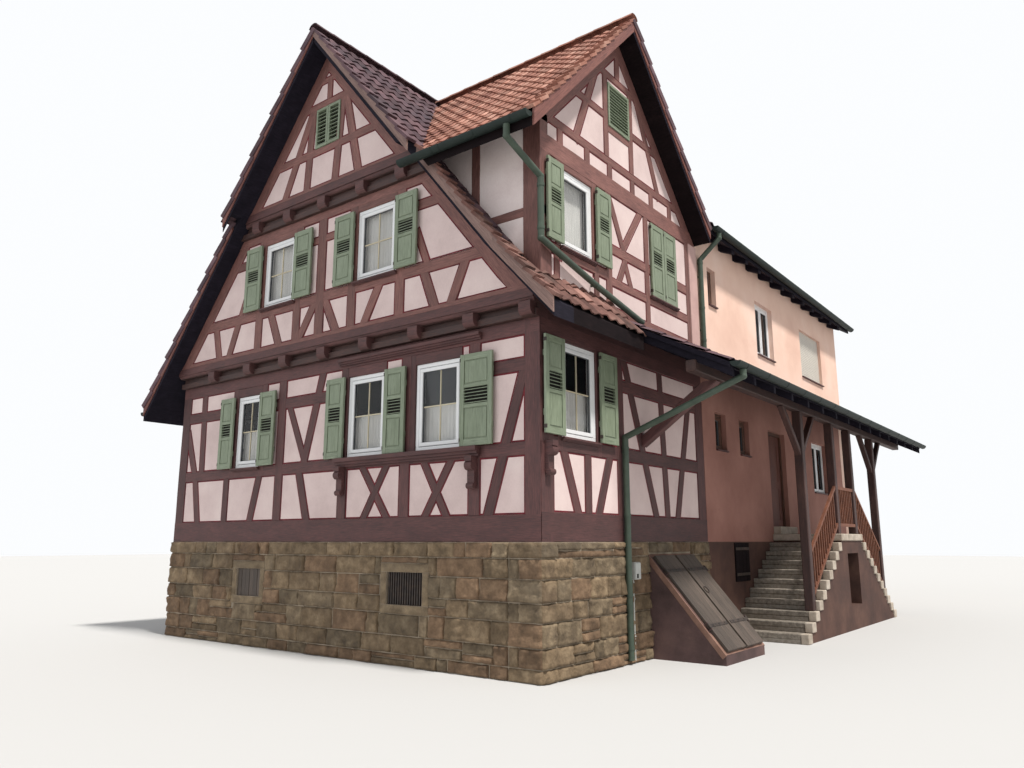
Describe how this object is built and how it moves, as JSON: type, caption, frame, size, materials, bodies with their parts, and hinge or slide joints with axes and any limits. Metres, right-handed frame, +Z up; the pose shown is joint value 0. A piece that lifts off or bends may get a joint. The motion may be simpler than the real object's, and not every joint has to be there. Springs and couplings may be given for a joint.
{
  "type": "half timbered house",
  "caption": "Half timbered corner house with a cross gable, a rendered annexe, a lean-to porch over an outside stair and a cellar hatch.",
  "frame": {"origin": "middle of the footprint on the underside of the cellar floor and plinth, level with the lowest ground", "axes": "+X to the side with the porch, +Y from the street gable into the depth, +Z up"},
  "size_m": [11.1, 14.57, 10.2097],
  "materials": {
    "timber": "sawn oak beams with a dark red brown coat",
    "plaster": "smooth lime plaster, pale pink",
    "render": "float finished render, salmon pink",
    "base_render": "rough brown render",
    "sandstone": "coursed ochre sandstone blocks",
    "step_stone": "worn grey stone",
    "floor_boards": "plain boards",
    "roof_tiles": "weathered dark clay tiles",
    "roof_tiles_warm": "weathered red clay tiles",
    "verge_paint": "painted boards",
    "green_metal": "green painted sheet",
    "window_frames": "white plastic frames",
    "window_glass": "clear glass",
    "shutter_paint": "olive green paint on wood",
    "weathered_wood": "bare grey brown boards",
    "door_paint": "red brown coat"
  },
  "bodies": {
    "house": {"cellar_floor": "step_stone", "plinth_front": "sandstone", "plinth_left": "sandstone", "plinth_right": "sandstone", "annexe_plinth": "base_render", "plinth_rear": "base_render", "ground_floor": "floor_boards", "upper_floor": "floor_boards", "attic_floor": "floor_boards", "front_ground_frame": "timber", "first_jetty": "timber", "front_upper_frame": "timber", "second_jetty": "timber", "front_gable_frame": "timber", "front_plaster": "plaster", "side_frame": "timber", "cross_gable_frame": "timber", "side_plaster": "plaster", "cross_cheek": "timber", "left_frame": "timber", "left_plaster": "plaster", "annexe_wall_near": "render", "annexe_wall_far": "render", "annexe_wall_over_door": "render", "annexe_wall_upper": "render", "annexe_wall_left": "render", "annexe_wall_rear": "render", "annexe_front_gable": "render", "main_roof_left": "roof_tiles", "main_roof_right": "roof_tiles", "side_pent": "roof_tiles", "cross_roof": "roof_tiles_warm", "annexe_roof": "roof_tiles", "porch_roof": "roof_tiles", "verge_boards": "verge_paint", "gutters": "green_metal", "downpipes": "green_metal", "front_windows": "window_frames", "side_windows": "window_frames", "hidden_windows": "window_frames", "window_glass": "window_glass", "window_sills": "timber", "front_shutters": "shutter_paint", "side_shutters": "shutter_paint", "vents": "weathered_wood", "wall_fittings": "window_frames", "near_stair_core": "base_render", "landing_base": "base_render", "far_stair_core": "base_render", "stair_treads": "step_stone", "landing": "step_stone", "balustrades": "door_paint", "porch_posts": "timber", "porch_purlin": "timber", "porch_braces": "timber", "hatch_frame": "base_render", "door_frame": "door_paint"},
    "entrance_door": {"entrance_door": "door_paint"},
    "hatch_leaf_near": {"hatch_leaf_near": "weathered_wood"},
    "hatch_leaf_far": {"hatch_leaf_far": "weathered_wood"}
  },
  "joints": [
    {"name": "entrance_door_hinge", "type": "hinge", "parent": "house", "child": "entrance_door", "pos_m": [3.9856, 2.203, 2.95], "axis": [0, 0, -1], "range_deg": [0, 100]},
    {"name": "hatch_near_hinge", "type": "hinge", "parent": "house", "child": "hatch_leaf_near", "pos_m": [4.21844, -4.041, 1.50691], "axis": [0.6475, 0, -0.7621], "range_deg": [0, 100]},
    {"name": "hatch_far_hinge", "type": "hinge", "parent": "house", "child": "hatch_leaf_far", "pos_m": [4.21844, -2.679, 1.50691], "axis": [-0.6475, 0, 0.7621], "range_deg": [0, 100]}
  ]
}
